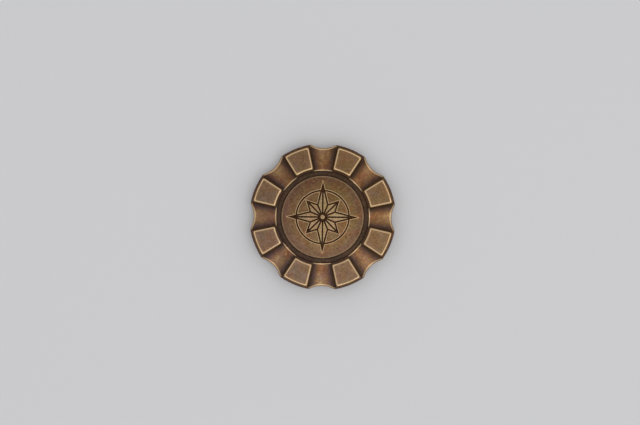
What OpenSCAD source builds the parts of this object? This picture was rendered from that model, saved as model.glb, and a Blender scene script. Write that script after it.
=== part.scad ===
// Spinner challenge coin: a fluted ring that turns on a ball bearing about two medallions
// screwed together through its middle. The front medallion faces +Z, its twelve o'clock is +Y,
// and the origin is the middle of the rear medallion's face.

/* [Ring] */
// Diameter over the lands
coin_d = 40; // [37:0.5:48]
// Number of flutes, with a land between each two
flute_count = 8; // [6:1:9]
// Angle that one flute takes up in the plane of the lands, in degrees
flute_span = 25; // [20:0.5:30]
// Depth of a flute below the lands, halfway along them
flute_depth = 1.5; // [1:0.1:1.8]
// How far the rim is drawn in at the middle of a flute
scallop_depth = 1.2; // [0.6:0.1:1.6]
// Radius of the hollow that draws the rim in
scallop_r = 7; // [6:0.25:12]
// Width of the bevel round the rim, seen from the front
rim_bevel_w = 0.65; // [0.4:0.05:1.2]
// Height of the bevel round the rim
rim_bevel_h = 0.9; // [0.4:0.05:1.4]
// Width of the bevel round the recess, seen from the front
recess_bevel_w = 0.8; // [0.4:0.05:1.2]
// Height of the bevel round the recess
recess_bevel_h = 0.5; // [0.2:0.05:0.8]
// Setback of the chamfer round the edges of a land
land_edge = 0.22; // [0.1:0.02:0.4]
// Lead-in chamfer at both mouths of the bearing seat
seat_lead = 0.25; // [0.1:0.05:0.5]

/* [Medallions] */
// Diameter of each medallion
medallion_d = 22.4; // [20.4:0.2:23]
// Thickness of each medallion's plate
medallion_t = 1.2; // [1:0.05:1.6]
// Chamfer round each medallion's face
medallion_edge = 0.25; // [0.1:0.05:0.5]
// Diameter of the screw thread that joins the medallions, plain here
thread_d = 4; // [3:0.5:4.5]
// Length of the thread on the front medallion's stud
thread_len = 2; // [1.2:0.1:2.2]

/* [Compass star] */
// Radius of the four long points, at the middle of their line
long_point_r = 8.8; // [7.5:0.1:9.2]
// Radius of the four short points, at the middle of their line
short_point_r = 6; // [4.8:0.1:6.3]
// Radius of the notches between the points
notch_r = 3.6; // [2.8:0.1:4]
// Radius of the circle behind the points, at the middle of its line
circle_r = 7.2; // [6.9:0.1:7.4]
// Radius of the button at the star's middle
button_r = 0.6; // [0.4:0.1:0.9]
// Width of the engraved lines
line_w = 0.4; // [0.3:0.05:0.5]
// Depth of the engraved lines
line_depth = 0.25; // [0.1:0.05:0.5]

/* [Bearing] */
// Bore of the inner race
bearing_bore = 6.35; // [6:0.05:6.8]
// Outer diameter of the outer race
bearing_od = 12.7; // [12:0.1:14]
// Width of both races
bearing_w = 3.175; // [3:0.025:4]
// How far the races stand proud of the ring's web on each side
bearing_proud = 0.19; // [0.1:0.01:0.3]
// Diameter of a ball
ball_d = 2; // [1.8:0.05:2.2]
// Number of balls
ball_count = 10; // [6:1:11]
// Depth of the ball groove in each race
groove_depth = 0.26; // [0.2:0.02:0.34]
// Chamfer on the races' corners
race_edge = 0.2; // [0.1:0.05:0.3]
// Thickness of the cage's band behind the balls
cage_back = 0.3; // [0.2:0.05:0.4]
// How far the cage's fingers reach past the middle of the balls
cage_grip = 0.45; // [0.35:0.05:0.55]

/* [Clearances] */
// How far the lands sit below the medallions' faces
land_setback = 0.15; // [0.05:0.05:0.3]
// Width of the gap between a medallion and the wall of its recess
moat_w = 1.4; // [0.5:0.1:1.8]
// Gap between a medallion's plate and the bearing's outer race
run_gap = 0.3; // [0.2:0.05:0.5]
// Radial gap, filled with bonding compound, between a race and its seat
bond_gap = 0.02; // [0.01:0.01:0.05]
// Gap between a ball and the groove it rolls in
ball_gap = 0.03; // [0.02:0.01:0.05]
// Gap between a ball and its pocket in the cage
pocket_gap = 0.05; // [0.04:0.01:0.1]
// Radial gap between the cage and the shoulders of the races
cage_gap = 0.25; // [0.15:0.05:0.3]
// Radial gap between the stud and its socket
thread_gap = 0.05; // [0.02:0.01:0.1]
// Gap left between the two spigots, so that they clamp the inner race
clamp_gap = 0.1; // [0.05:0.05:0.3]
// Room between the stud's end and the bottom of its socket
socket_room = 0.2; // [0.1:0.05:0.4]

/* [Hidden] */
$fn = 96;
cut_over = 0.1;

// Stack of the coin, measured from its middle plane
coin_t = bearing_w + 2 * (run_gap + medallion_t);
mid_z = coin_t / 2;
race_z = bearing_w / 2;
plate_z = race_z + run_gap;
land_z = mid_z - land_setback;
web_z = race_z - bearing_proud;

// Radii of the ring
coin_r = coin_d / 2;
medallion_r = medallion_d / 2;
recess_r = medallion_r + moat_w;
land_in_r = recess_r + recess_bevel_w;
land_out_r = coin_r - rim_bevel_w;
land_mid_r = (land_in_r + land_out_r) / 2;
seat_r = bearing_od / 2 + bond_gap;

// A flute is a cone whose point lies on the coin's axis in the plane of the lands.
// Its floor falls outwards, and it meets that plane in two straight radial lines.
flute_fall = atan(flute_depth / land_mid_r);
flute_tilt = atan((cos(flute_fall) - cos(flute_span / 2)) / sin(flute_fall));
flute_half = flute_tilt + flute_fall;
wall_slope = acos(sin(flute_tilt) / sin(flute_half));
flute_len = coin_r + scallop_r;

// Radii of the bearing
pitch_r = (bearing_bore + bearing_od) / 4;
ball_r = ball_d / 2;
groove_r = ball_r + ball_gap;
inner_shoulder_r = pitch_r - ball_r + groove_depth;
outer_shoulder_r = pitch_r + ball_r - groove_depth;
cage_in_r = inner_shoulder_r + cage_gap;
cage_out_r = outer_shoulder_r - cage_gap;
pocket_r = ball_r + pocket_gap;

// Points of the star, long and short by turns
POINTS = 8;
POINT_STEP = 360 / POINTS;

// Radii of the hub
boss_r = inner_shoulder_r - race_edge;
spigot_r = bearing_bore / 2 - bond_gap;
stud_r = thread_d / 2;
socket_r = stud_r + thread_gap;
stud_end_z = clamp_gap / 2 - thread_len;
socket_end_z = stud_end_z - socket_room;

// Lifts what is drawn about the coin's middle plane into the coin's own frame
module from_middle() {
    translate([0, 0, mid_z]) children();
}

// Draws its children on the front face, and again mirrored on the rear face
module both_faces() {
    children();
    mirror([0, 0, 1]) children();
}

// Repeats its children at each flute
module at_flutes() {
    for (i = [0:flute_count - 1]) rotate([0, 0, i * 360 / flute_count]) children();
}

// Point at a distance from one point on the way to another
function toward(from, to, by) = from + by * (to - from) / norm(to - from);

// Section of the ring: recess, bevels, lands, web and bearing seat
module ring_section() {
    recess_lip = [recess_r, land_z - recess_bevel_h];
    rim_lip = [coin_r, land_z - rim_bevel_h];
    upper = [
        [seat_r, web_z - seat_lead],
        [seat_r + seat_lead, web_z],
        [recess_r, web_z],
        recess_lip,
        toward([land_in_r, land_z], recess_lip, land_edge),
        [land_in_r + land_edge, land_z],
        [land_out_r - land_edge, land_z],
        toward([land_out_r, land_z], rim_lip, land_edge),
        rim_lip,
    ];
    lower = [for (i = [len(upper) - 1:-1:0]) [upper[i][0], -upper[i][1]]];
    polygon(concat(upper, lower));
}

// Cone that hollows one flute along +X
module flute_cutter() {
    translate([0, 0, land_z]) rotate([0, 90 - flute_tilt, 0])
        cylinder(h = flute_len, r1 = 0, r2 = flute_len * tan(flute_half));
}

// Wedge that breaks the edge of the land on one side of a flute, at half the slope of its wall
module land_edge_cutter() {
    edge_w = 2 * land_edge * cos(wall_slope / 2) + cut_over;
    translate([0, 0, land_z]) rotate([0, 0, flute_span / 2])
        translate([medallion_r, land_edge, 0]) rotate([wall_slope / 2, 0, 0])
            translate([0, -edge_w, 0]) cube([flute_len - medallion_r, edge_w, scallop_r]);
}

// Upright cylinder that draws the rim in at one flute
module scallop_cutter() {
    translate([coin_r - scallop_depth + scallop_r, 0, 0])
        cylinder(h = coin_t, r = scallop_r, center = true);
}

module outer_ring() {
    color("#7a5f47") from_middle() difference() {
        rotate_extrude() ring_section();
        at_flutes() {
            scallop_cutter();
            both_faces() {
                flute_cutter();
                land_edge_cutter();
                mirror([0, 1, 0]) land_edge_cutter();
            }
        }
    }
}

// Half section of a medallion's plate and of the boss and spigot behind it, with the face up.
// The inner points, given from the spigot's end to the axis, make a stud or a socket.
module medallion_section(inner) {
    polygon(concat(
        [
            [0, mid_z],
            [medallion_r - medallion_edge, mid_z],
            [medallion_r, mid_z - medallion_edge],
            [medallion_r, plate_z],
            [boss_r, plate_z],
            [boss_r, race_z],
            [spigot_r, race_z],
            [spigot_r, clamp_gap / 2],
        ],
        inner
    ));
}

// Straight engraved line between two points
module line(from, to) {
    run = to - from;
    translate(from) rotate(atan2(run[1], run[0])) translate([0, -line_w / 2]) square([norm(run), line_w]);
}

// Point at a radius and an angle, with 0 degrees at twelve o'clock
function polar(r, a) = [r * sin(a), r * cos(a)];

// Radius of the star's point number i, long and short by turns
function point_r(i) = i % 2 == 0 ? long_point_r : short_point_r;

// Corner number i of the star: its points, and the notches between them, by turns
function corner(i) = polar(i % 2 == 0 ? point_r(i / 2) : notch_r, i / 2 * POINT_STEP);

// Direction square to the way from one point to another, to its left
function left_of(from, to) = let (run = to - from) [-run[1], run[0]] / norm(run);

// Corner number i of the star with its edges moved outwards
function moved_corner(i, by) =
    let (m = left_of(corner(i - 1), corner(i)), n = left_of(corner(i), corner(i + 1)))
    corner(i) + by * (m + n) / (1 + m * n);

module star_outline(by = 0) {
    polygon([for (i = [0:2 * POINTS - 1]) moved_corner(i, by)]);
}

// Compass star in engraved lines: outlines and ribs of its points, with a circle behind them
module compass_star() {
    difference() {
        union() {
            difference() {
                star_outline(line_w / 2);
                star_outline(-line_w / 2);
            }
            for (i = [0:POINTS - 1]) {
                line([0, 0], polar(point_r(i) - line_w, i * POINT_STEP));
                line([0, 0], polar(notch_r, (i + 1 / 2) * POINT_STEP));
            }
            difference() {
                circle(r = circle_r + line_w / 2);
                circle(r = circle_r - line_w / 2);
                star_outline();
            }
        }
        circle(r = button_r);
    }
}

module front_medallion() {
    color("#75573c") from_middle() difference() {
        rotate_extrude() medallion_section([[stud_r, clamp_gap / 2], [stud_r, stud_end_z], [0, stud_end_z]]);
        translate([0, 0, mid_z - line_depth]) linear_extrude(line_depth + cut_over) compass_star();
    }
}

module rear_medallion() {
    color("#75573c") from_middle() mirror([0, 0, 1]) rotate_extrude()
        medallion_section([[socket_r, clamp_gap / 2], [socket_r, -socket_end_z], [0, -socket_end_z]]);
}

// Section of a race between two radii, before its groove is turned
module race_section(r1, r2) {
    polygon([
        [r1 + race_edge, -race_z],
        [r2 - race_edge, -race_z],
        [r2, race_edge - race_z],
        [r2, race_z - race_edge],
        [r2 - race_edge, race_z],
        [r1 + race_edge, race_z],
        [r1, race_z - race_edge],
        [r1, race_edge - race_z],
    ]);
}

module race(r1, r2) {
    color("silver") from_middle() rotate_extrude() difference() {
        race_section(r1, r2);
        translate([pitch_r, 0]) circle(r = groove_r);
    }
}

module bearing_outer_race() {
    race(outer_shoulder_r, bearing_od / 2);
}

module bearing_inner_race() {
    race(bearing_bore / 2, inner_shoulder_r);
}

// Places its children on the pitch circle at ball number i
module at_ball(i) {
    rotate([0, 0, i * 360 / ball_count]) translate([pitch_r, 0, 0]) children();
}

module bearing_cage() {
    color("gainsboro") from_middle() difference() {
        rotate_extrude() translate([cage_in_r, -cage_grip])
            square([cage_out_r - cage_in_r, cage_grip + pocket_r + cage_back]);
        for (i = [1:ball_count]) at_ball(i) sphere(r = pocket_r);
    }
}

module bearing_ball(i) {
    color("silver") from_middle() at_ball(i) sphere(r = ball_r);
}

outer_ring();
front_medallion();
rear_medallion();
bearing_outer_race();
bearing_inner_race();
bearing_cage();
for (i = [1:ball_count]) {
    bearing_ball(i);
}
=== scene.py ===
import math

import bmesh
import bpy
import numpy as np
from mathutils.geometry import delaunay_2d_cdt
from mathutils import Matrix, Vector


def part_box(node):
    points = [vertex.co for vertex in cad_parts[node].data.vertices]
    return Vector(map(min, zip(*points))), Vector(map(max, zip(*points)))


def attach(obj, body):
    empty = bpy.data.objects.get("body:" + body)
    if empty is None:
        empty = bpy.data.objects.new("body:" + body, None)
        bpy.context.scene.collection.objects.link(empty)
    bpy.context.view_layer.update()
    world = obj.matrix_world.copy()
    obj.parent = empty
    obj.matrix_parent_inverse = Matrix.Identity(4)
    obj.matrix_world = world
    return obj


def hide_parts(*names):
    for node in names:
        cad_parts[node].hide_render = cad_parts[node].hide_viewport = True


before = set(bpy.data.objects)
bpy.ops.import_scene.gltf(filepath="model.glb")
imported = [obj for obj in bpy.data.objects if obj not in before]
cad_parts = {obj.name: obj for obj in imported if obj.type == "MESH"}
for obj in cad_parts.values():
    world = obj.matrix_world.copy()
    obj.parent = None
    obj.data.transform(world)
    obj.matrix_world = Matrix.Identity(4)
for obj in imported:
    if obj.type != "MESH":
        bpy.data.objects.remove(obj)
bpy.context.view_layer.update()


# BEARING
# A bought miniature ball bearing: two races of hardened steel, ground and polished, ten polished balls and
# a crown cage stamped from stainless sheet. The outer race is bonded into the ring, and the inner one is
# clamped between the two medallions.
MM = 0.001
oil_spot_w = 1.1


def srgb(red, green, blue):
    """A colour as it is seen, 0 to 255, in the linear values that a shader takes."""
    seen = [c / 255 for c in (red, green, blue)]
    return [c / 12.92 if c <= 0.04045 else ((c + 0.055) / 1.055) ** 2.4 for c in seen] + [1.0]


def bare_finish(name, roughness, metallic):
    """A material with its shader alone."""
    finish = bpy.data.materials.new(name)
    finish.use_nodes = True
    shader = finish.node_tree.nodes["Principled BSDF"]
    shader.inputs["Roughness"].default_value = roughness
    shader.inputs["Metallic"].default_value = metallic
    return finish, finish.node_tree, shader


def put(tree, kind, sockets, **settings):
    """A node with its settings, and with each named socket set to a value or wired to another node."""
    made = tree.nodes.new("ShaderNode" + kind)
    for setting, value in settings.items():
        setattr(made, setting, value)
    for socket, value in sockets.items():
        if isinstance(value, bpy.types.NodeSocket):
            tree.links.new(value, made.inputs[socket])
        else:
            made.inputs[socket].default_value = value
    return made


def blotches(place, size, detail=2.0, roughness=0.5, distortion=0.0):
    """Cloudy values about 0.5, in blotches of about that size in millimetres."""
    grain = {"Vector": place, "Scale": 1 / (size * MM), "Detail": detail}
    grain.update({"Roughness": roughness, "Distortion": distortion})
    return put(place.id_data, "TexNoise", grain).outputs["Fac"]


def spread(value, low, high, to_low=0.0, to_high=1.0):
    """A value drawn out from low and high to two other values, and held there."""
    ends = {"Value": value, "From Min": low, "From Max": high, "To Min": to_low, "To Max": to_high}
    return put(value.id_data, "MapRange", ends, clamp=True).outputs["Result"]


def worked(operation, a, b):
    """Two values put together, of which the first comes from a node."""
    return put(a.id_data, "Math", {0: a, 1: b}, operation=operation).outputs["Value"]


def plus(a, b):
    """The sum of two values."""
    return worked("ADD", a, b)


def times(a, b):
    """The product of two values."""
    return worked("MULTIPLY", a, b)


def mixed(share, a, b, blend="MIX"):
    """Two colours mixed, with the share of the second from 0 to 1."""
    first_colour, second_colour, result = 6, 7, 2
    sockets = {"Factor": share, first_colour: a, second_colour: b}
    return put(share.id_data, "Mix", sockets, data_type="RGBA", blend_type=blend).outputs[result]


def steel_finish(name, tone, smudge, roughness, line_w, line_depth):
    """Steel with lines that run round the coin's axis, as a grinding wheel or a lathe leaves them."""
    finish, tree, shader = bare_finish(name, roughness, 1.0)
    place = put(tree, "TexCoord", {}).outputs["Object"]
    flat = put(tree, "VectorMath", {0: place, 1: (1.0, 1.0, 0.0)}, operation="MULTIPLY").outputs["Vector"]
    radius = put(tree, "VectorMath", {0: flat}, operation="LENGTH").outputs["Value"]
    height = put(tree, "SeparateXYZ", {0: place}).outputs["Z"]
    across = put(tree, "CombineXYZ", {"X": radius, "Y": height}).outputs["Vector"]
    lines = blotches(across, line_w, 3.0, 0.7)
    oil = blotches(place, oil_spot_w, 3.0, 0.55, 0.4)
    body = mixed(spread(oil, 0.4, 0.75, to_high=0.6), tone, smudge)
    body = mixed(spread(lines, 0.3, 0.7, to_high=0.35), body, smudge)
    tree.links.new(body, shader.inputs["Base Color"])
    dulled = plus(spread(oil, 0.35, 0.75, to_high=0.14), spread(lines, 0.3, 0.7, to_high=0.08))
    tree.links.new(plus(dulled, roughness - 0.06), shader.inputs["Roughness"])
    ridges = {"Height": lines, "Strength": 0.25, "Distance": line_depth * MM}
    tree.links.new(put(tree, "Bump", ridges).outputs["Normal"], shader.inputs["Normal"])
    return finish


ground_steel = steel_finish("ground_steel", tone=srgb(206, 207, 210), smudge=srgb(158, 156, 152),
                            roughness=0.24, line_w=0.09, line_depth=0.006)
stamped_steel = steel_finish("stamped_steel", tone=srgb(188, 187, 184), smudge=srgb(138, 134, 128),
                             roughness=0.38, line_w=0.22, line_depth=0.01)
for name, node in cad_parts.items():
    if name.startswith("bearing_"):
        node.data.materials.clear()
        node.data.materials.append(stamped_steel if name == "bearing_cage" else ground_steel)


# OUTER RING
# Die-cast bronze, tumbled, browned with patina and then rubbed, so that its edges are bright and its hollows
# are dark, with patina, dirt and painted shade. Eight conical flutes for the fingers leave eight flat lands,
# on both faces alike, and each flute draws the rim in. The bearing's outer race is bonded into its bore.

# The bearing's seat in the middle of a thin web. Heights are measured from the coin's middle plane
race_low, race_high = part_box("bearing_outer_race")
mid_z = (race_low.z + race_high.z) / 2 / MM
race_z = (race_high.z - race_low.z) / 2 / MM
bond_gap = 0.02
seat_r = race_high.x / MM + bond_gap
seat_lead = 0.25
bearing_proud = 0.19
web_z = race_z - bearing_proud

# The recess round the medallion, the lands and the rim
medallion_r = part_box("front_medallion")[1].x / MM
moat_w = 1.4
recess_r = medallion_r + moat_w
recess_bevel_w = 0.8
recess_bevel_h = 0.5
coin_r = 20.0
rim_bevel_w = 0.65
rim_bevel_h = 0.9
land_in_r = recess_r + recess_bevel_w
land_out_r = coin_r - rim_bevel_w
land_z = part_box("outer_ring")[1].z / MM - mid_z
land_edge = 0.22

# A flute is a cone whose point lies on the coin's axis in the plane of the lands. It meets that plane in two
# straight radial lines, each at flute_edge from its middle, and a round hollow at its end draws the rim in
flute_count = 8
flute_edge = math.radians(12.5)
flute_depth = 1.5
flute_fall = math.atan(flute_depth / ((land_in_r + land_out_r) / 2))
flute_tilt = math.atan((math.cos(flute_fall) - math.cos(flute_edge)) / math.sin(flute_fall))
flute_half = flute_tilt + flute_fall
wall_slope = math.acos(math.sin(flute_tilt) / math.sin(flute_half))
scallop_r = 7.0
scallop_depth = 1.2
scallop_at = coin_r - scallop_depth + scallop_r

# How far tumbling and rubbing have rounded each kind of edge
edge_round = 0.05
land_corner_round = 0.15
cusp_round = 0.25
recess_fillet = 0.15
mouth_round = 0.12
seat_round = 0.02

# Columns of the mesh, from the middle of a flute to the middle of a land: evenly over the flute, at set
# distances from the land's straight side, and evenly over the land
flute_steps = 18
side_lines = np.array([-0.3, -0.22, -0.18, -0.154, -0.125, -0.07, 0.03,
                       0.13, 0.18, 0.22, 0.26, 0.32, 0.45, 0.65])
land_steps = 6
half_columns = flute_steps + len(side_lines) + land_steps


def turns_at(r):
    """Angle of each column from the middle of its flute, at one radius or at a radius for each column."""
    r = np.broadcast_to(r, half_columns)
    first, last = (flute_edge + np.arcsin(side / r) for side in side_lines[[0, -1]])
    turns = first * np.arange(half_columns) / flute_steps
    sides = slice(flute_steps, flute_steps + len(side_lines))
    turns[sides] = flute_edge + np.arcsin(side_lines / r[sides])
    over_land = np.arange(1, land_steps + 1) / land_steps
    turns[sides.stop:] = last[sides.stop:] + over_land * (math.pi / flute_count - last[sides.stop:])
    return turns


def lower(a, b, round_off=edge_round):
    """The lower of two heights, with the corner where they cross rounded off."""
    near = np.maximum(round_off - np.abs(a - b), 0) / round_off
    return np.minimum(a, b) - near * near * round_off / 4


def flute_height(r, turn):
    """Height of a flute's cone over the plane of the lands, or a height out of reach beside the cone."""
    a = math.sin(flute_tilt) ** 2 - math.cos(flute_half) ** 2
    b = 2 * np.cos(turn) * math.cos(flute_tilt) * math.sin(flute_tilt)
    c = (np.cos(turn) * math.cos(flute_tilt)) ** 2 - math.cos(flute_half) ** 2
    under = b * b - 4 * a * c
    slope = (-b + np.sqrt(np.maximum(under, 0))) / (2 * a)
    return np.where(under > 0, r * slope, coin_r)


def face_height(r, turn):
    """Height of the ring's face: the lowest of its lands, flutes and bevels, and of the lands' chamfers."""
    recess_slope = recess_bevel_h / recess_bevel_w
    rim_slope = rim_bevel_h / rim_bevel_w
    height = lower(0.0, flute_height(r, turn))
    height = lower(height, (r - land_in_r) * recess_slope)
    height = lower(height, (land_out_r - r) * rim_slope)
    # A chamfer lies at half the slope of the bevel or the wall that it eases, and it ends on that wall
    side = r * np.sin(turn - flute_edge)
    on_wall = side > -2 * land_edge
    chamfer_in = (r - land_in_r - land_edge) * math.tan(math.atan(recess_slope) / 2)
    chamfer_out = (land_out_r - land_edge - r) * math.tan(math.atan(rim_slope) / 2)
    chamfer_side = np.where(on_wall, (side - land_edge) * math.tan(wall_slope / 2), coin_r)
    chamfer = lower(lower(chamfer_in, chamfer_out), chamfer_side, land_corner_round)
    return land_z + lower(height, chamfer)


def face_at(r):
    """Height of the ring's face by column, at one radius or at a radius for each column."""
    return face_height(r, turns_at(r))


def ease(value, low, high, start=0.0, end=1.0):
    """Start below low, end above high, and a smooth change between them."""
    share = np.clip((value - low) / (high - low), 0, 1)
    return start + (end - start) * share * share * (3 - 2 * share)


# Outline of the rim by column: a circle drawn in at each flute, with the cusps between rubbed round. The
# angle of a column goes by its radius, so a few rounds settle both
rim_r = np.full(half_columns, coin_r)
for _ in range(6):
    turn = turns_at(rim_r)
    under = scallop_r ** 2 - (scallop_at * np.sin(turn)) ** 2
    hollow = np.where(under > 0, scallop_at * np.cos(turn) - np.sqrt(np.maximum(under, 0)), 2 * coin_r)
    rim_r = lower(coin_r, hollow, cusp_round)

ring_rows = []


def ring_row(r, h, worn, dirt_and_shade, copper=0.0, rust=0.0):
    """Adds a line of the mesh round the ring: radius, height and four stains, for all or for each column."""
    ring_rows.append([np.broadcast_to(value, half_columns) for value in (r, h, worn, dirt_and_shade, copper, rust)])


def corner_rows(before, corner, after, steps, stains):
    """Adds lines round a rubbed corner, with stains that go by the share of the way round it."""
    for share in np.linspace(0, 1, steps):
        r, h = ((1 - share) ** 2 * a + 2 * share * (1 - share) * b + share ** 2 * c
                for a, b, c in zip(before, corner, after))
        ring_row(r, h, *stains(share))


# Rows of the mesh, first from the middle of the bore out over the web, where dirt and painted shade darken
# the corner by the medallion and the corner of the recess
up_bore = np.linspace(0, web_z - seat_lead - 2 * seat_round, 3)
under_medallion = np.linspace(seat_r + 0.8, medallion_r - 0.6, 4)
in_moat = medallion_r + np.array([0.1, 0.25, 0.4, 0.55, 0.8, 1.05])
for h in up_bore:
    ring_row(seat_r, h, worn=0.1, dirt_and_shade=0.3)
ring_row(seat_r + seat_round, web_z - seat_lead + seat_round, worn=0.1, dirt_and_shade=0.3)
ring_row(seat_r + seat_lead - seat_round, web_z - seat_round, worn=0.1, dirt_and_shade=0.4)
ring_row(seat_r + seat_lead + 2 * seat_round, web_z, worn=0, dirt_and_shade=0.5)
for r in (*under_medallion, *in_moat):
    out = r - medallion_r
    ring_row(r, web_z, 0, ease(out, 0.2, 0.55, 0.9, 0.7) + ease(out, 0.7, 1.2, 0, 0.12))

# Up the wall of the recess, dark with dirt and painted shade, to its mouth, which is rubbed bright in the
# flutes
wall_dirt_and_shade = 0.78
wall_foot = web_z + recess_fillet
mouth_z = face_at(recess_r)
mouth_degrees = np.degrees(turns_at(recess_r))
mouth_flute = ease(mouth_degrees, 8.5, 11.5, 1, 0)


def mouth_wear(degrees):
    """How far the mouth of a flute is rubbed bright, by the angle from the middle of the flute."""
    return ease(degrees, 0, 5, 0.74, 0.96) * ease(degrees, 8.8, 12.4, 1, 0)


def mouth_stains(share):
    """Stains round the mouth, by column: dirt and painted shade below, then bright in the flutes and darkened
    brown on the bevels.
    """
    worn = mouth_wear(mouth_degrees) * ease(share, 0.5, 1.0)
    dirt_and_shade = np.maximum(0.4 * (1 - mouth_flute), ease(share, 0.3, 0.75, 0.75, 0))
    return worn, dirt_and_shade, mouth_flute


corner_rows((recess_r - recess_fillet, web_z), (recess_r, web_z), (recess_r, wall_foot),
            steps=5, stains=lambda share: (0, wall_dirt_and_shade))
for share in (0.4, 0.75):
    ring_row(recess_r, wall_foot + (mouth_z - mouth_round - wall_foot) * share, worn=0, dirt_and_shade=wall_dirt_and_shade)
corner_rows((recess_r, mouth_z - mouth_round), (recess_r, mouth_z),
            (recess_r + mouth_round, face_at(recess_r + mouth_round)), steps=6, stains=mouth_stains)

# Out over the face, with rows close together where there is an edge. They follow the drawn-in rim more and
# more, and leave room for its rounding
rim_degrees = np.degrees(turns_at(rim_r))
rim_flute = ease(rim_degrees, 9.5, 11.5, 1, 0)
rim_round = 0.15 + 0.1 * rim_flute
rim_room = 0.11
drawn_in_from = (land_in_r + land_out_r) / 2
near_recess = land_in_r + np.array([-0.6, -0.54, -0.46, -0.38, -0.28, -0.2, -0.15, -0.1,
                                    -0.05, 0.02, 0.1, 0.18, 0.23, 0.3, 0.4])
near_rim = land_out_r + np.array([-0.9, -0.7, -0.55, -0.49, -0.43, -0.37, -0.3, -0.25, -0.21,
                                  -0.16, -0.09, -0.01, 0.06, 0.11, 0.15, 0.2, 0.28, 0.39])
along_flute = np.linspace(near_recess[-1], near_rim[0], 12)[1:-1]
line_corner_r = 0.4
line_set_in = 0.17


def face_row(r):
    """Adds a line of the mesh on the ring's face, with what rubbing and dirt have done there."""
    turn = turns_at(r)
    degrees = np.degrees(turn)
    side = r * np.sin(turn - flute_edge)
    from_recess, from_rim, past_land = r - recess_r, rim_r - r, r - land_out_r

    # Each land has a bright line just inside its edge, with round corners, that fades over the land
    from_end = np.minimum(r - land_in_r, land_out_r - line_set_in - r)
    in_corner = line_corner_r - np.hypot(line_corner_r - side, line_corner_r - from_end)
    inside = np.where(np.maximum(side, from_end) < line_corner_r, in_corner, np.minimum(side, from_end))
    line = ease(side - from_end, 0, 1.5, 1, 0.74) * ease(inside, 0.17, 0.35, 1, 0)
    worn_land = ease(inside, -0.12, -0.02) * np.maximum(line, 0.08 * np.exp(-np.maximum(inside, 0) / 0.6))

    # Each flute is bright along its mouth and its rim, and a little along its floor
    worn_mouth = mouth_wear(degrees) * ease(from_recess, 0.2, 0.42, 1, 0)
    worn_rim = ease(degrees, 1, 5, 0.78, 0.92) * ease(degrees, 9.5, 11.5, 1, 0)
    worn_rim = worn_rim * ease(from_rim, 0.05, 0.22) * ease(from_rim, 0.4, 0.64, 1, 0)
    worn_floor = ease(from_recess, 1.4, 5.4, 0, 0.12) * ease(degrees, 3, 8, 1, 0)

    # Dirt and painted shade darken the bevels at both ends of a land and the walls of the flutes, and the
    # dirt is rusty next to the bright line
    dirt_and_shade_in = ease(from_recess, 0, 0.35, 0.4, 0.57) * ease(from_recess, 0.57, 0.77, 1, 0)
    dirt_and_shade_in = dirt_and_shade_in * ease(degrees, 8.5, 11.5)
    on_bevel = ease(past_land, -0.1, 0.1) * ease(side, -0.5, 0)
    dirt_and_shade_out = ease(past_land, 0.07, 0.4, 0.14, 0.56) * on_bevel
    dirt_and_shade_flute = ease(degrees, 5, 11.4, 0, 0.82) * ease(side, -land_edge, -0.15, 1, 0)

    worn = np.max([worn_land, worn_mouth, worn_rim, worn_floor], axis=0)
    dirt_and_shade = np.max([dirt_and_shade_in, dirt_and_shade_out, dirt_and_shade_flute], axis=0)
    copper = np.maximum(ease(degrees, 4, 9, 1, 0), 0.7 * on_bevel)
    rust = np.maximum(ease(inside, -0.75, -0.35) * ease(inside, -0.05, 0.1, 1, 0), on_bevel)
    ring_row(r, face_height(r, turn), worn, dirt_and_shade, copper, rust)


for r in (*near_recess, *along_flute, *near_rim):
    drawn_in = max(r - drawn_in_from, 0) / (near_rim[-1] - drawn_in_from)
    face_row(min(r, drawn_in_from) + drawn_in * (rim_r - rim_round - rim_room - drawn_in_from))

# Round the rim and down to its middle, bright on the cusps between the flutes and the lands
rim_z = face_at(rim_r)
cusp_turn = math.acos((coin_r ** 2 + scallop_at ** 2 - scallop_r ** 2) / (2 * coin_r * scallop_at))
cusp_w = 0.55
cusp = np.exp(-((rim_degrees - math.degrees(cusp_turn)) / cusp_w) ** 2)


def rim_stains(share):
    """Stains round the rim, by column: bright above and darkened below in the flutes, and darkened on the
    lands, with dirt and painted shade.
    """
    worn = rim_flute * (0.58 - 0.5 * share) + (1 - rim_flute) * 0.15 * share
    dirt_and_shade = rim_flute * 0.45 * share + (1 - rim_flute) * 0.42
    return worn, dirt_and_shade


corner_rows((rim_r - rim_round, face_at(rim_r - rim_round)), (rim_r, rim_z), (rim_r, rim_z - rim_round),
            steps=6, stains=rim_stains)
for share in (0.8, 0.55, 0.27, 0.0):
    ring_row(rim_r, (rim_z - rim_round) * share, worn=0.1 + 0.35 * cusp, dirt_and_shade=0.55 - 0.4 * cusp)

# The half columns are mirrored and turned round the coin, and the rows are mirrored to the rear face
radius, height, *stains = np.array(ring_rows).transpose(1, 2, 0)
stains = np.stack(stains, axis=2)
turns = np.array([turns_at(r) for r in radius.T]).T
flute_step = 2 * math.pi / flute_count
there_and_back = [*range(half_columns - 1), *range(half_columns - 1, 0, -1)]
over_flute = np.concatenate([turns[:-1], flute_step - turns[:0:-1]])
angle = np.concatenate([over_flute + flute * flute_step for flute in range(flute_count)])
radius, height = (np.tile(rows[there_and_back], (flute_count, 1)) for rows in (radius, height))
front = np.stack([radius * np.cos(angle), radius * np.sin(angle), height], axis=2)
front_stains = np.tile(stains[there_and_back], (flute_count, 1, 1))
ring_points = np.concatenate([front, front[:, -2:0:-1] * (1, 1, -1)], axis=1)
ring_stains = np.concatenate([front_stains, front_stains[:, -2:0:-1]], axis=1)
grid = np.arange(ring_points[..., 0].size).reshape(ring_points.shape[:2])
next_row, next_column = np.roll(grid, -1, axis=1), np.roll(grid, -1, axis=0)
ring_faces = np.stack([grid, next_row, np.roll(next_row, -1, axis=0), next_column], axis=2)


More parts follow.
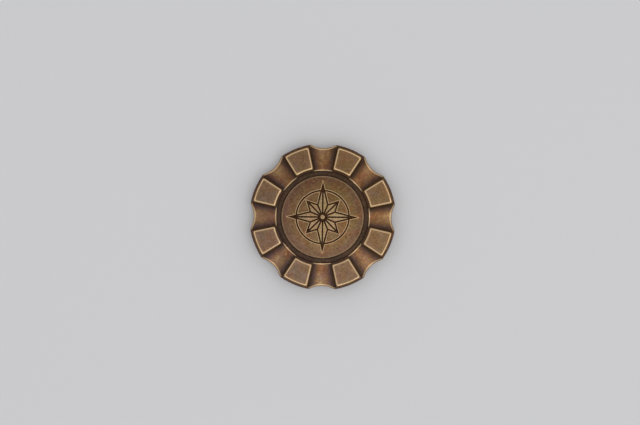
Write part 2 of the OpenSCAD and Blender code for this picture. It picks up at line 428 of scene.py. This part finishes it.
def stained_mesh(name, points, faces, stains, finish):
    """A smooth mesh from points measured from the middle plane, with the stains that its finish reads."""
    mesh = bpy.data.meshes.new(name)
    mesh.from_pydata(((points + (0, 0, mid_z)) * MM).tolist(), [], faces)
    for stain, values in zip(("worn", "dirt_and_shade", "tint", "rust"), stains.T):
        mesh.attributes.new(stain, "FLOAT", "POINT").data.foreach_set("value", values.astype(np.float32))
    worker = bmesh.new()
    worker.from_mesh(mesh)
    bmesh.ops.recalc_face_normals(worker, faces=worker.faces)
    worker.to_mesh(mesh)
    worker.free()
    mesh.shade_smooth()
    mesh.materials.append(finish)
    piece = bpy.data.objects.new(name, mesh)
    bpy.context.scene.collection.objects.link(piece)
    return piece


# The patina that both bronzes share: colours, of which a shade is laid over the metal, the direction in which
# its hue changes over the coin, and the lit side, towards which a painted shade lightens its tone
gilt_flecks = srgb(210, 178, 114)
green_shade = (0.9, 0.99, 0.91, 1)
drift_shade = srgb(236, 231, 225)
mottle_shade = srgb(222, 214, 205)
copper_shade = (1.02, 0.86, 0.76, 1)
# A bluish colour of shade, painted along the edge of the darkened walls
cool_shade_tint = (1.08, 1.04, 1.45, 1)
rusty_dirt = srgb(58, 29, 6)
to_rose_side = (-0.8, -0.6, 0.0)
to_lit_side = (0.45, -0.89, 0.0)


def antique_bronze(name, olive, rose, tint, side_shade, reach, blotched, bright, dark):
    """Bronze under a brown patina, whose hue changes as far as reach from the middle, with a painted shade
    that lightens its tone towards the lit side over the same reach, and with copper blotches and specks by a
    share.
    The mesh's stains say where it is rubbed, darkened with dirt and painted shade, tinted or rusty, and a
    stain that the mesh lacks counts as none."""
    finish, tree, shader = bare_finish(name, 0.45, 0.9)
    place = put(tree, "TexCoord", {}).outputs["Object"]
    elsewhere = (0.031, 0.017, 0.023)
    moved = put(tree, "VectorMath", {0: place, 1: elsewhere}, operation="ADD").outputs["Vector"]
    # The second stain darkens with dirt and painted shade alike
    worn, dirt_and_shade, tinted, rust = (put(tree, "Attribute", {}, attribute_name=stain).outputs["Fac"]
                                 for stain in ("worn", "dirt_and_shade", "tint", "rust"))

    # Blotches from large to small, each with its size, detail, roughness and distortion
    greens = blotches(moved, 3.1, 3.0, 0.6, 0.5)
    coppers = blotches(place, 3.0, 3.0, 0.6, 0.7)
    clouds = blotches(place, 2.6, 3.0, 0.6, 0.6)
    drifts = blotches(moved, 1.7, 4.0, 0.6, 0.8)
    flecks = blotches(moved, 1.0, 3.0, 0.6, 0.4)
    mottle = blotches(place, 0.45, 4.0, 0.65)
    specks = blotches(moved, 0.42, 2.0, 0.5)
    pores = blotches(moved, 0.16, 2.0, 0.6)

    # Fine scratches are long thin blotches, in two directions
    scratches = []
    for heading in (0.5, 2.2):
        stretch = {"Vector": place, "Rotation": (0.3, 0.2, heading), "Scale": (0.06, 1.6, 1.0)}
        fine = blotches(put(tree, "Mapping", stretch).outputs["Vector"], 0.11, 2.0, 0.6, 0.2)
        scratches.append(spread(fine, 0.66, 0.76))
    scratched = worked("MAXIMUM", *scratches)

    # The patina turns from olive to rose across the coin, and a painted shade darkens it away from the lit
    # side.
    # Where it is tinted it has gilt flecks. Greenish clouds, drifts, a fine mottle, blotches of copper and
    # specks lie over all of it
    to_rose, toward_lit_side = (put(tree, "VectorMath", {0: place, 1: way}, operation="DOT_PRODUCT").outputs["Value"]
                         for way in (to_rose_side, to_lit_side))
    hue = plus(spread(to_rose, -reach * MM, reach * MM, 0.13, 0.31), times(clouds, 0.56))
    # The tone is painted light and shade, lighter towards the lit side, with random drifts over it
    tone = plus(spread(toward_lit_side, -reach * MM, reach * MM, 0.0, 0.7), times(drifts, 0.3))
    body = mixed(spread(hue, 0.4, 0.6), olive, rose)
    body = mixed(times(tinted, spread(drifts, 0.36, 0.6, 0.6, 1.0)), body, tint, "MULTIPLY")
    body = mixed(times(tinted, spread(flecks, 0.5, 0.66, 0.0, 0.4)), body, gilt_flecks)
    body = mixed(spread(greens, 0.42, 0.6), body, green_shade, "MULTIPLY")
    # Painted shade, laid on most away from the lit side
    body = mixed(spread(tone, 0.1, 0.9, 1.0, 0.0), body, side_shade, "MULTIPLY")
    body = mixed(spread(drifts, 0.36, 0.64), body, drift_shade, "MULTIPLY")
    body = mixed(spread(mottle, 0.32, 0.68), body, mottle_shade, "MULTIPLY")
    body = mixed(spread(coppers, 0.44, 0.6, 0.0, blotched), body, copper_shade, "MULTIPLY")
    body = mixed(spread(specks, 0.57, 0.68, 0.0, 0.38 * blotched), body, dark)
    body = mixed(spread(specks, 0.3, 0.4, 0.11 * blotched, 0.0), body, bright)
    body = mixed(spread(pores, 0.66, 0.76, 0.0, 0.55), body, dark)

    # Dirt and painted shade, rusty in places and elsewhere edged with a painted bluish tint of shade, then
    # bright metal where it is rubbed or scratched
    dirt_and_shade_cover = times(dirt_and_shade, spread(clouds, 0.36, 0.64, 0.78, 1.0))
    cool_shade = times(spread(dirt_and_shade_cover, 0.02, 0.25), spread(dirt_and_shade_cover, 0.4, 0.68, 1.0, 0.0))
    cool_shade = times(cool_shade, spread(rust, 0.0, 1.0, 1.0, 0.0))
    rubbed = times(worn, spread(mottle, 0.25, 0.6, 0.82, 1.0))
    body = mixed(cool_shade, body, cool_shade_tint, "MULTIPLY")
    body = mixed(dirt_and_shade_cover, body, mixed(rust, dark, rusty_dirt))
    body = mixed(worked("MAXIMUM", rubbed, times(scratched, 0.16)), body, bright)
    tree.links.new(body, shader.inputs["Base Color"])

    # Dirt is dull and rubbed metal is smooth, over a skin of fine dents and scratches
    dull = plus(spread(mottle, 0.25, 0.75, 0.4, 0.56), times(dirt_and_shade, 0.14))
    tree.links.new(worked("SUBTRACT", dull, times(rubbed, 0.14)), shader.inputs["Roughness"])
    skin = worked("SUBTRACT", plus(mottle, times(pores, 0.6)), times(scratched, 0.35))
    dents = {"Height": skin, "Strength": 0.3, "Distance": 0.03 * MM}
    tree.links.new(put(tree, "Bump", dents).outputs["Normal"], shader.inputs["Normal"])
    return finish


# Each bronze's side shade is a painted shade, laid on most away from the lit side
ring_bronze = antique_bronze("ring_bronze", olive=srgb(145, 114, 82), rose=srgb(141, 116, 102),
                             tint=(1.15, 0.89, 0.83, 1), side_shade=srgb(219, 213, 207), reach=17.0,
                             blotched=0.65, bright=srgb(222, 189, 145), dark=srgb(55, 41, 35))
ring = stained_mesh("fluted_ring", ring_points.reshape(-1, 3), ring_faces.reshape(-1, 4).tolist(),
                    ring_stains.reshape(-1, 4), ring_bronze)
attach(ring, "ring")
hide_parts("outer_ring")


# REAR MEDALLION
# A plain bronze disc, turned and browned like the ring, which the coin rests on. A boss behind it bears on
# the bearing's inner race, and the socket in its spigot takes the front medallion's stud.
stud_low, face_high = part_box("front_medallion")
face_z = face_high.z / MM - mid_z
face_edge = 0.25
face_r = medallion_r - face_edge
plate_t = 1.2
plate_z = face_z - plate_t
race_edge = 0.2
boss_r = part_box("bearing_inner_race")[1].x / MM - race_edge
bearing_bore = 6.35
spigot_r = bearing_bore / 2 - bond_gap
clamp_gap = 0.1
spigot_z = clamp_gap / 2
stud_r = 2.0
stud_end_z = stud_low.z / MM - mid_z
thread_gap = 0.05
socket_r = stud_r + thread_gap
socket_room = 0.2
socket_z = socket_room - stud_end_z
corner_round = 0.05
medallion_columns = 256


def eased(start, corners, end):
    """Rows of a turned piece along its half section from one place to another, with each corner on the way
    rounded in three points. A corner has its place, and how worn and how dirty it is before and after it."""
    places = [np.array(place) for place in (start, *(corner[0] for corner in corners), end)]
    rows = []
    for before, here, after, (_, stain_in, stain_out) in zip(places, places[1:], places[2:], corners):
        leave, meet = (here + (other - here) * corner_round / math.dist(other, here)
                       for other in (before, after))
        rows.append((*leave, *stain_in, 0))
        rows.append((*(leave + 2 * here + meet) / 4, *np.mean((stain_in, stain_out), axis=0), 0))
        rows.append((*meet, *stain_out, 0))
    return rows


def turned(rows):
    """Points, faces and stains of a turned piece from its rows. A row on the axis closes it there."""
    points, stains, rings = [], [], []
    for r, h, *stain in rows:
        count = medallion_columns if r else 1
        rings.append([len(points) + c % count for c in range(medallion_columns)])
        angles = 2 * math.pi * np.arange(count) / medallion_columns
        points.extend(np.column_stack([r * np.cos(angles), r * np.sin(angles), np.full(count, h)]))
        stains.extend([stain] * count)
    faces = []
    for inner, outer in zip(rings, rings[1:]):
        for c in range(medallion_columns):
            corners = inner[c - 1], inner[c], outer[c], outer[c - 1]
            faces.append(tuple(dict.fromkeys(corners)))
    return np.array(points), faces, np.array(stains)


def face_stain(r):
    """How worn a face is and how much darker: darker towards its edge, and rubbed on the very edge."""
    rubbed = ease(r - face_r, -0.11, 0.03)
    return 0.2 * rubbed, ease(r - face_r, -2.75, -0.45, 0, 0.24) * (1 - rubbed)


# Corners of both medallions, from the edge of the face to the end of the spigot. The metal is rubbed bright
# round the edge, and behind it dirt and painted shade darken it
face_end = face_r - corner_round
hidden = (0, 0.4)
edge_corners = [
    ((face_r, face_z), face_stain(face_end), (0.66, 0)),
    ((medallion_r, face_z - face_edge), (0.62, 0), (0, 0.65)),
    ((medallion_r, plate_z), (0, 0.85), (0, 0.9)),
    ((boss_r, plate_z), (0, 0.5), (0, 0.5)),
    ((boss_r, race_z), hidden, hidden),
    ((spigot_r, race_z), hidden, hidden),
    ((spigot_r, spigot_z), hidden, hidden),
]
socket_corners = [((socket_r, z), hidden, hidden) for z in (spigot_z, socket_z)]
over_face = np.linspace(0, face_end - 0.1, 14)
face_rows = [(r, face_z, *face_stain(r), 0) for r in over_face]
behind_face = eased((0, face_z), edge_corners + socket_corners, (0, socket_z))
points, faces, stains = turned(face_rows + behind_face + [(0, socket_z, *hidden, 0)])
# The medallion's side shade is a painted shade too, stronger than the ring's
medallion_bronze = antique_bronze("medallion_bronze", olive=srgb(147, 118, 81), rose=srgb(150, 119, 91),
                                  tint=(2.1, 2.65, 3.3, 1), side_shade=srgb(198, 192, 186), reach=10.0,
                                  blotched=1.0, bright=srgb(215, 184, 143), dark=srgb(56, 30, 11))
rear_disc = stained_mesh("rear_medallion_disc", points * (1, 1, -1), faces, stains, medallion_bronze)
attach(rear_disc, "hub")
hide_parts("rear_medallion")


# FRONT MEDALLION
# The same disc with a compass star engraved in its face. The lines are dark with patina, and the facets
# between them are rubbed lighter than the ground. Its threaded stud screws into the rear medallion.
point_count = 8
point_step = 2 * math.pi / point_count
long_point_r = 8.8
short_point_r = 6.0
notch_r = 3.6
circle_r = 7.2
button_r = 0.6

# Section of an engraved line, from its middle: the foot and the shoulder of its sloping side, and its lip
line_half = 0.2
line_depth = 0.25
line_floor_z = face_z - line_depth
line_foot = line_half - 0.03
line_shoulder = line_half + 0.015
shoulder_z = face_z - 0.03
line_lip = line_half + 0.05


def star_polar(r, step):
    """A point at a radius and a number of steps clockwise from twelve o'clock."""
    return np.array([r * math.sin(step * point_step), r * math.cos(step * point_step)])


def anticlockwise(loop):
    """The loop, turned about if it was drawn clockwise."""
    area = sum(a[0] * b[1] - a[1] * b[0] for a, b in zip(loop, loop[1:] + loop[:1]))
    return loop if area > 0 else loop[::-1]


def on_circle(tip, notch):
    """Where the line from a long tip to a notch crosses the circle."""
    run = notch - tip
    a, b, c = run @ run, 2 * tip @ run, tip @ tip - circle_r ** 2
    return tip + run * (-b - math.sqrt(b * b - 4 * a * c)) / (2 * a)


# Loops along the middle of the lines: round each facet, round each field inside the circle, and round the
# ground outside it. The circle stops a little short of where it meets a long point
facets, fields, ground = [], [], []
arc_gap = 0.12
arc_points = 23
leave = on_circle(star_polar(long_point_r, 0), star_polar(notch_r, 0.5))
arc_start = math.atan2(*leave) / point_step + arc_gap
for i in range(point_count):
    tip = star_polar(short_point_r if i % 2 else long_point_r, i)
    for side in (-0.5, 0.5):
        facets.append(anticlockwise([np.zeros(2), tip, star_polar(notch_r, i + side)]))
for i in range(0, point_count, 2):
    tip, next_tip = (star_polar(long_point_r, step) for step in (i, i + 2))
    short_tip = star_polar(short_point_r, i + 1)
    notch_before, notch, notch_after = (star_polar(notch_r, i + side) for side in (-0.5, 0.5, 1.5))
    arc_steps = np.linspace(i + arc_start, i + 2 - arc_start, arc_points)
    arc = [star_polar(circle_r, step) for step in arc_steps]
    star_side = [on_circle(tip, notch), notch, short_tip, notch_after, on_circle(next_tip, notch_after)]
    fields.append(anticlockwise(star_side + arc[::-1]))
    ground += [on_circle(tip, notch_before), tip, on_circle(tip, notch)] + arc
ground = anticlockwise(ground)


def moved_loop(loop, by, round_gaps=False):
    """A loop, drawn anticlockwise, with its sides moved outwards, or inwards if by is below 0."""
    made = []
    least_bend = 0.02
    for before, here, after in zip(loop[-1:] + loop[:-1], loop, loop[1:] + loop[:1]):
        m, n = ((np.array([d[1], -d[0]]) / np.linalg.norm(d)) for d in (here - before, after - here))
        bend = m[0] * n[1] - m[1] * n[0]
        if round_gaps and bend * by > least_bend * abs(by):
            turn = math.atan2(bend, m @ n)
            for share in np.linspace(0, 1, 5):
                c, s = math.cos(turn * share), math.sin(turn * share)
                made.append(here + by * np.array([c * m[0] - s * m[1], s * m[0] + c * m[1]]))
        else:
            made.append(here + by * (m + n) / (1 + m @ n))
    return made


def circle_loop(r, steps):
    """A circle about the middle of the face."""
    angles = 2 * math.pi * np.arange(steps) / steps
    return list(np.column_stack([r * np.cos(angles), r * np.sin(angles)]))


def finer(loop, longest=0.6):
    """A loop with its long sides split, so that the triangles on it keep a fair shape."""
    made = []
    for a, b in zip(loop, loop[1:] + loop[:1]):
        steps = max(1, math.ceil(np.linalg.norm(b - a) / longest))
        made += [a + (b - a) * s / steps for s in range(steps)]
    return made


flat_points, flat_edges, flat_rows = [], [], []


def engrave(loop, height, worn, dirt_and_shade, tint=0):
    """Adds a closed loop to the face, at one height and with one stain."""
    start = len(flat_points)
    flat_points.extend(loop)
    flat_edges.extend((start + i, start + (i + 1) % len(loop)) for i in range(len(loop)))
    flat_rows.extend([(height, worn, dirt_and_shade, tint)] * len(loop))


# The first loop is the outermost one, where the turned edge goes on
for r, steps in ((face_end, medallion_columns), (face_end - 0.1, 128), (face_end - 0.25, 128),
                 (face_end - 0.55, 64)):
    engrave(circle_loop(r, steps), face_z, *face_stain(r))

# Facets, and the button in the middle, are light all over
light_side = [(line_foot, line_floor_z, (0, 1, 0)), (line_shoulder, shoulder_z, (0.1, 0.5, 1)),
              (line_lip, face_z, (0.25, 0, 1)), (line_lip + 0.1, face_z, (0, 0, 1)),
              (line_lip + 0.21, face_z, (0, 0, 0.9))]
for loop in facets:
    for inset, height, stain in light_side:
        engrave(finer(moved_loop(loop, -inset)), height, *stain)
button_points = 40
for inset, height, stain in light_side[:-1]:
    engrave(circle_loop(button_r + line_half - inset, button_points), height, *stain)

# The fields and the ground have a light border along the lines
for loop, way in [(field, -1) for field in fields] + [(ground, 1)]:
    engrave(finer(moved_loop(loop, way * line_foot)), line_floor_z, 0, 1)
    engrave(finer(moved_loop(loop, way * line_shoulder)), shoulder_z, 0.4, 0.4)
    lip = moved_loop(loop, way * line_lip)
    engrave(finer(lip), face_z, 0.7, 0)
    for further, worn in ((0.07, 0.55), (0.15, 0.0)):
        engrave(finer(moved_loop(lip, way * further, round_gaps=True)), face_z, worn, 0)

# Loose points on the ground outside the circle, clear of the star, carry the stain of the face there
loose_gap = 0.45
loose_points = 80
for r in np.linspace(circle_r + 0.8, face_end - 0.9, 4):
    for spot in circle_loop(r, loose_points):
        if np.linalg.norm(np.array(flat_points) - spot, axis=1).min() > loose_gap:
            flat_points.append(spot)
            flat_rows.append((face_z, *face_stain(r), 0))

# The face is triangulated between its loops. Each point of it comes from one of the points above
whole_face, nearest = 0, 1e-6
flat_points = [tuple(map(float, point)) for point in flat_points]
flat_xy, _, flat_faces, origins, *_ = delaunay_2d_cdt(flat_points, flat_edges, [], whole_face, nearest, True)
assert all(len(origin) == 1 for origin in origins), "two loops of the engraving touch"
origins = [origin[0] for origin in origins]
flat_rows = np.array(flat_rows, float)[origins]

# The turned edge and the stud follow on from the outermost loop of the face
stud_corners = [((stud_r, z), hidden, hidden) for z in (spigot_z, stud_end_z)]
behind_face = eased((0, face_z), edge_corners + stud_corners, (0, stud_end_z))
points, faces, stains = turned(behind_face + [(0, stud_end_z, *hidden, 0)])
seam = [origins.index(c) for c in range(medallion_columns)]
renumbered = seam + list(range(len(flat_xy), len(flat_xy) + len(points) - medallion_columns))
front_faces = flat_faces + [tuple(renumbered[v] for v in face) for face in faces]
front_points = np.concatenate([np.column_stack([flat_xy, flat_rows[:, 0]]), points[medallion_columns:]])
front_stains = np.concatenate([flat_rows[:, 1:], stains[medallion_columns:]])
front_disc = stained_mesh("front_medallion_disc", front_points, front_faces, front_stains, medallion_bronze)
front_disc.data.set_sharp_from_angle(angle=math.radians(30))
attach(front_disc, "hub")
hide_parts("front_medallion")


# FLOOR AND LIGHT
# A plain pale table, painted, under a soft sky that is brighter overhead than along the horizon. One broad
# soft lamp hangs near the camera. Sizes and places here are in metres.
table_half = 2.0
table_z = -0.02 * MM
table_corners = [(x * table_half, y * table_half, table_z) for x, y in ((-1, -1), (1, -1), (1, 1), (-1, 1))]
table_mesh = bpy.data.meshes.new("table")
table_mesh.from_pydata(table_corners, [], [(0, 1, 2, 3)])
table_paint, _, table_shader = bare_finish("table_paint", 0.75, 0.0)
table_shader.inputs["Base Color"].default_value = srgb(226, 226, 228)
table_mesh.materials.append(table_paint)
table = bpy.data.objects.new("table", table_mesh)
bpy.context.scene.collection.objects.link(table)

sky = bpy.data.worlds.new("soft_sky")
bpy.context.scene.world = sky
sky.use_nodes = True
horizon_grey, overhead_grey = (0.4, 0.4, 0.41, 1), (0.8, 0.8, 0.8, 1)
look = put(sky.node_tree, "TexCoord", {}).outputs["Generated"]
up = put(sky.node_tree, "SeparateXYZ", {0: look}).outputs["Z"]
sky_light = mixed(spread(up, 0.15, 0.95), horizon_grey, overhead_grey)
sky.node_tree.links.new(sky_light, sky.node_tree.nodes["Background"].inputs["Color"])
sky.node_tree.nodes["Background"].inputs["Strength"].default_value = 1.0

lamp_aside, lamp_up = 0.12, 0.8
lamp_tilt = math.atan2(lamp_aside, lamp_up)
lamp = bpy.data.lights.new("soft_lamp", "AREA")
lamp.shape, lamp.size, lamp.energy = "DISK", 0.5, 0.9
lamp_stand = bpy.data.objects.new("soft_lamp", lamp)
lamp_stand.location = (lamp_aside, -lamp_aside, lamp_up)
lamp_stand.rotation_euler = (lamp_tilt, lamp_tilt, 0)
bpy.context.scene.collection.objects.link(lamp_stand)


# CAMERA
# Straight over the coin, far enough away that the side of its rim hardly shows, and turned by less than a
# degree. Its height is measured from the lands.
camera_aside = (-0.721, 1.228)
camera_up = 449.8
camera_turn = math.radians(0.72)
lens = bpy.data.cameras.new("camera")
lens.lens, lens.sensor_width = 93.0, 36.0
camera = bpy.data.objects.new("camera", lens)
camera.location = (camera_aside[0] * MM, camera_aside[1] * MM, (mid_z + land_z + camera_up) * MM)
camera.rotation_euler = (0, 0, camera_turn)
bpy.context.scene.collection.objects.link(camera)
bpy.context.scene.camera = camera
bpy.context.scene.view_settings.view_transform = "Standard"
